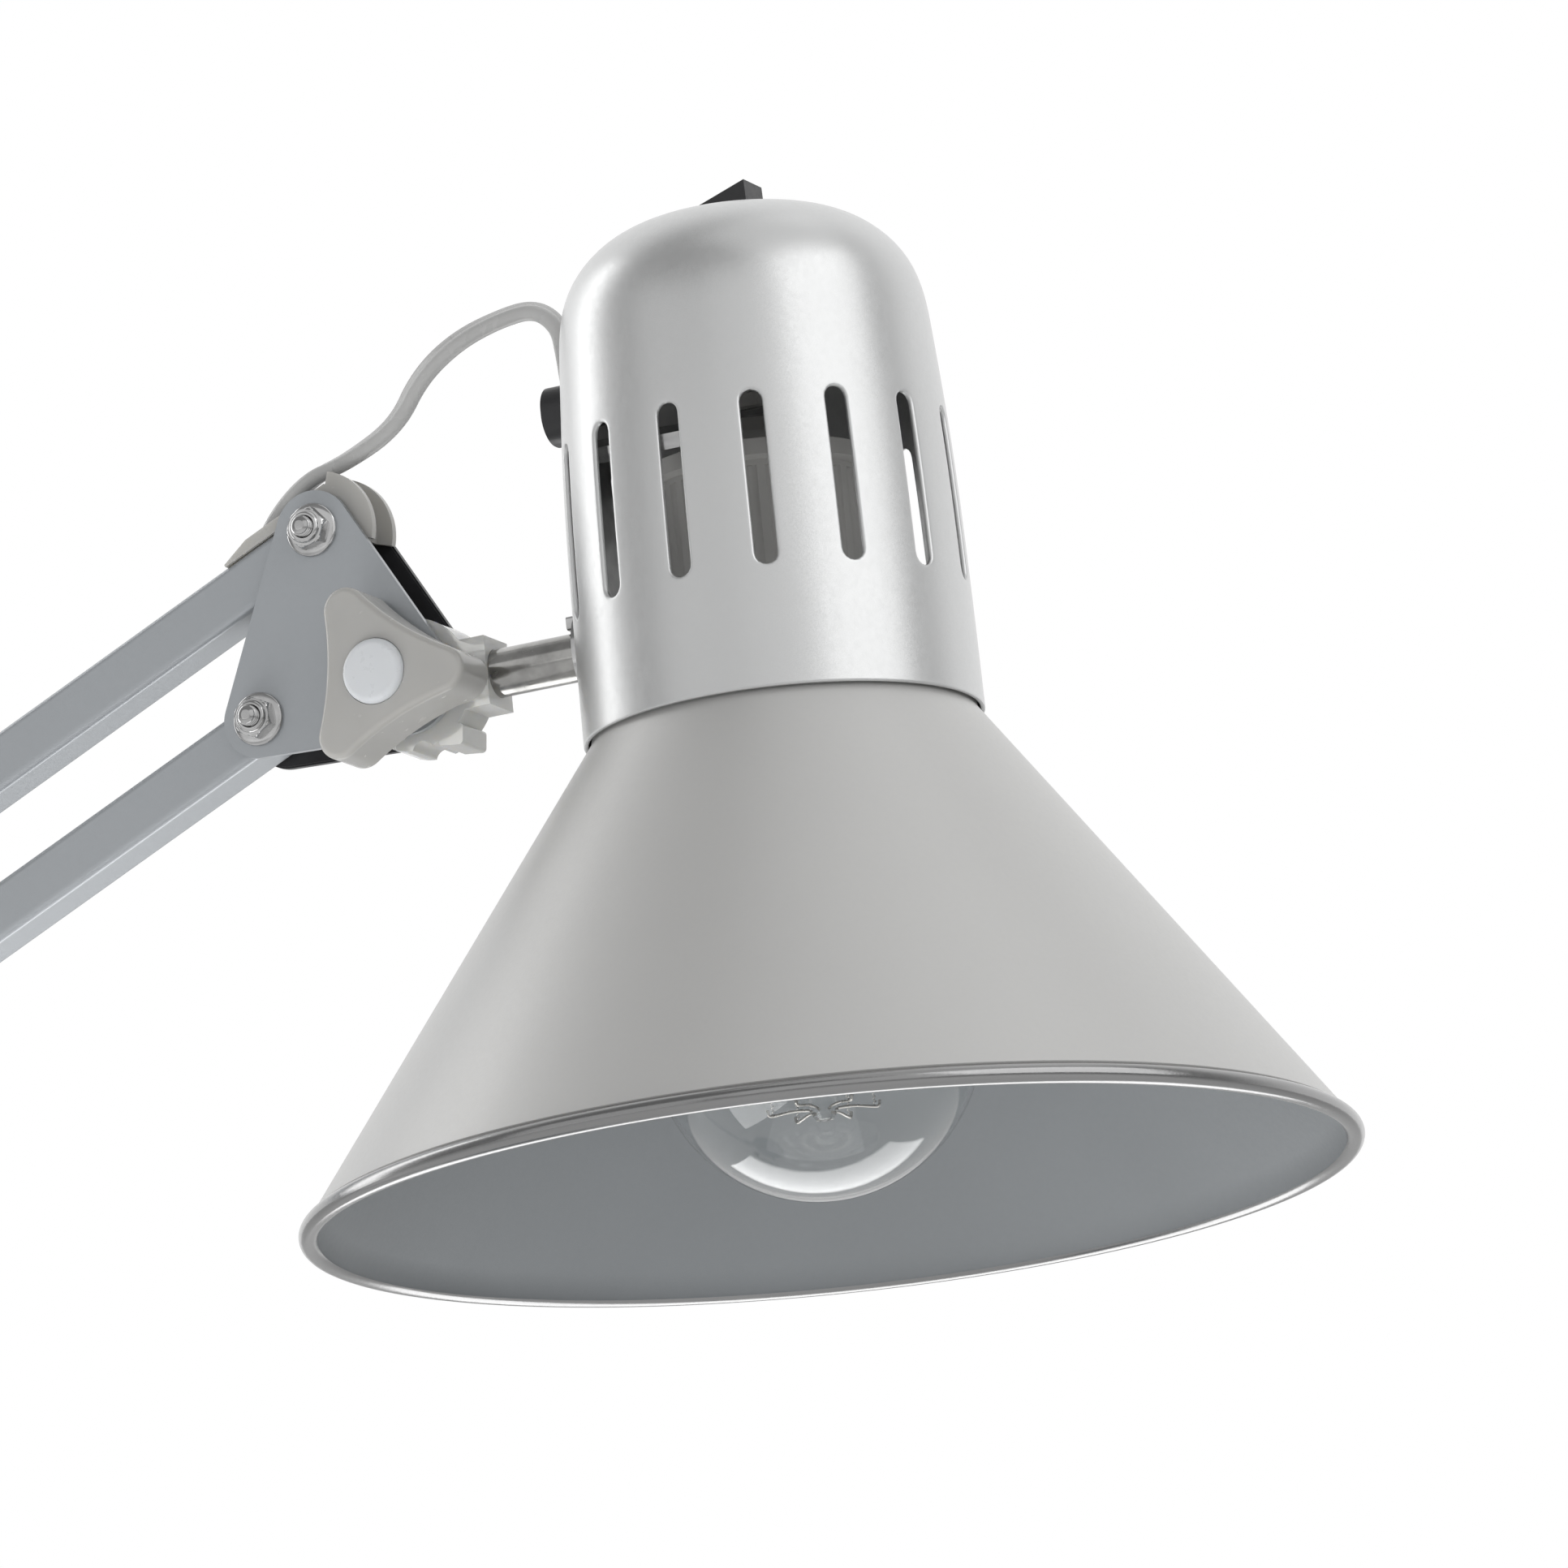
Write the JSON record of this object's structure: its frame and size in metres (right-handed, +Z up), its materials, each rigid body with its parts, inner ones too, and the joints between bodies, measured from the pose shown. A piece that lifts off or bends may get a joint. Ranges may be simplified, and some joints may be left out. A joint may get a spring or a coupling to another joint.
{
  "type": "desk lamp",
  "caption": "Architect desk lamp: weighted base, two sprung parallelogram arms, clamping tilt joint and vented metal shade with bulb.",
  "frame": {"origin": "centre of the base's underside, on the swivel axis", "axes": "+Z up along the swivel axis; the arms move in the XZ plane and the head hangs towards +X; Y runs across the arm plates"},
  "size_m": [0.5709, 0.303, 0.7228],
  "materials": {
    "arm_paint": "satin blue-grey metallic paint",
    "cap_paint": "satin silver metallic paint",
    "shade_paint": "satin warm grey metallic paint outside, blue-grey inside",
    "zinc": "bright zinc plate",
    "rod_steel": "bright drawn steel, lightly stained",
    "spring_steel": "drawn spring wire",
    "iron": "raw cast iron",
    "pad_rubber": "matt rubber",
    "black_plastic": "fine satin moulding",
    "grey_plastic": "warm light grey moulding",
    "knob_disc": "satin cool grey disc",
    "clear_plastic": "milky translucent moulding",
    "nylon": "natural nylon",
    "bulb_glass": "clear glass",
    "bulb_wire": "support wires and stem",
    "brass": "plated screw cap",
    "holder": "beige heat-resisting moulding",
    "cord_grey": "smooth light grey flexible sheath",
    "lead_white": "white insulated wire"
  },
  "bodies": {
    "root": {"base_pad": "pad_rubber", "base_weight": "iron", "base_cover": "arm_paint", "base_socket": "arm_paint", "socket_bush": "nylon", "base_screws": "zinc", "strain_relief": "black_plastic", "cord_floor": "cord_grey", "cord_coil": "cord_grey", "cord_tie": "black_plastic", "cord_tail": "cord_grey", "plug": "black_plastic", "plug_pins": "zinc"},
    "swivel": {"swivel_pin": "zinc", "base_yoke": "arm_paint", "base_fasteners": "zinc", "base_spring_posts": "zinc", "cord_base_loop": "cord_grey"},
    "lower_a": {"lower_bar_a": "arm_paint", "cord_in_lower_bar": "cord_grey"},
    "lower_b": {"lower_bar_b": "arm_paint", "lower_spring_pin": "zinc", "lower_springs": "spring_steel"},
    "elbow": {"elbow_plate_near": "arm_paint", "elbow_plate_far": "arm_paint", "elbow_fasteners": "zinc", "elbow_spring_posts": "zinc", "elbow_clip": "black_plastic", "cord_elbow_low": "cord_grey", "cord_elbow_high": "cord_grey"},
    "upper_c": {"upper_bar_c": "arm_paint", "upper_spring_pin": "zinc", "upper_springs": "spring_steel", "cable_guide": "grey_plastic", "cord_in_upper_bar": "cord_grey"},
    "upper_d": {"upper_bar_d": "arm_paint"},
    "bracket": {"head_plate_near": "arm_paint", "head_plate_far": "black_plastic", "head_liners": "black_plastic", "head_bolts": "zinc", "head_nuts": "zinc", "tilt_bolt": "zinc", "cord_head_loop": "cord_grey"},
    "knob": {"tilt_knob": "grey_plastic", "tilt_knob_cap": "knob_disc"},
    "neck": {"tilt_block": "clear_plastic", "neck_rod": "rod_steel", "rod_nut": "zinc"},
    "head": {"cap_shell": "cap_paint", "shade_cone": "shade_paint", "lamp_holder": "holder", "holder_bracket": "zinc", "bulb_glass": "bulb_glass", "bulb_base": "brass", "bulb_mount": "bulb_wire", "cord_grommet": "black_plastic", "switch_housing": "black_plastic", "head_leads": "lead_white", "rod_washer": "zinc"},
    "rocker": {"switch_rocker": "black_plastic"}
  },
  "joints": [
    {"name": "base_swivel", "type": "hinge", "parent": "root", "child": "swivel", "pos_m": [0, 0, 0.046], "axis": [0, 0, 1], "range_deg": [-170, 170]},
    {"name": "lower_lift", "type": "hinge", "parent": "swivel", "child": "lower_a", "pos_m": [-0.018, 0, 0.063], "axis": [0, -1, 0], "range_deg": [-55, 25], "deforming": ["cord_base_loop"]},
    {"name": "lower_follow", "type": "hinge", "parent": "swivel", "child": "lower_b", "pos_m": [0.018, 0, 0.063], "axis": [0, -1, 0], "range_deg": [-55, 25], "deforming": ["lower_springs"]},
    {"name": "elbow_level", "type": "hinge", "parent": "lower_a", "child": "elbow", "pos_m": [-0.1786, 0, 0.4074], "axis": [0, -1, 0], "range_deg": [-25, 55], "deforming": ["cord_elbow_low"]},
    {"name": "upper_lift", "type": "hinge", "parent": "elbow", "child": "upper_c", "pos_m": [-0.1529, 0, 0.474], "axis": [0, -1, 0], "range_deg": [-55, 20], "deforming": ["upper_springs", "cord_elbow_high"]},
    {"name": "upper_follow", "type": "hinge", "parent": "elbow", "child": "upper_d", "pos_m": [-0.16359, 0, 0.4394], "axis": [0, -1, 0], "range_deg": [-55, 20]},
    {"name": "bracket_level", "type": "hinge", "parent": "upper_c", "child": "bracket", "pos_m": [0.17619, 0, 0.664], "axis": [0, -1, 0], "range_deg": [-20, 55], "deforming": ["cord_head_loop"]},
    {"name": "head_tilt", "type": "hinge", "parent": "bracket", "child": "neck", "pos_m": [0.1955, 0, 0.6339], "axis": [0, -1, 0], "range_deg": [-40, 40]},
    {"name": "knob_turn", "type": "hinge", "parent": "bracket", "child": "knob", "pos_m": [0.1955, -0.01, 0.6339], "axis": [0, 1, 0], "range_deg": [-360, 360]},
    {"name": "head_swivel", "type": "hinge", "parent": "neck", "child": "head", "pos_m": [0.23058, 0, 0.63777], "axis": [0.994, 0, 0.1097], "range_deg": [-45, 45]},
    {"name": "switch_rock", "type": "hinge", "parent": "head", "child": "rocker", "pos_m": [0.25819, 0, 0.71577], "axis": [0, 1, 0], "range_deg": [0, 12]}
  ],
  "couplings": [
    {"joint": "lower_follow", "follows": "lower_lift", "ratio": 1},
    {"joint": "elbow_level", "follows": "lower_lift", "ratio": -1},
    {"joint": "upper_follow", "follows": "upper_lift", "ratio": 1},
    {"joint": "bracket_level", "follows": "upper_lift", "ratio": -1}
  ]
}
